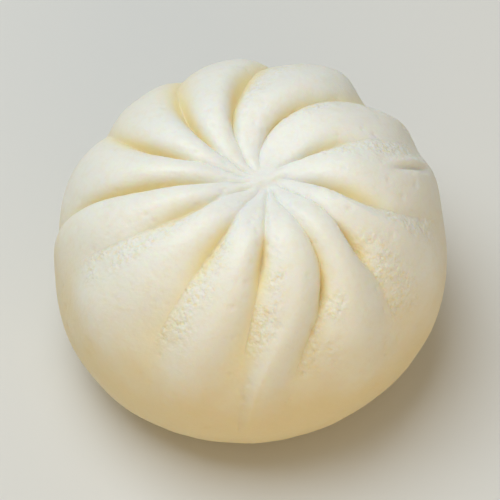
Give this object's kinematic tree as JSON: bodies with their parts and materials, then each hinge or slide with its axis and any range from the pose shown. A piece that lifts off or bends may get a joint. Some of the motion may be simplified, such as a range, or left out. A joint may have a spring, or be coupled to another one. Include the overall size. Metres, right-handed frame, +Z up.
{
  "type": "pleated steamed bun",
  "caption": "Round white steamed bun with a flat foot and deep hand pleats that gather into a small twisted knot in a hollow on top.",
  "frame": {"origin": "middle of the flat foot that the bun rests on", "axes": "+Z up through the crown; -Y towards the front, where the pleats run furthest down the side; +X to the right"},
  "size_m": [0.0807, 0.0811, 0.0562],
  "materials": {
    "dough": "soft satin skin of steamed white wheat dough"
  },
  "bodies": {
    "root": {"bun": "dough"}
  },
  "joints": []
}
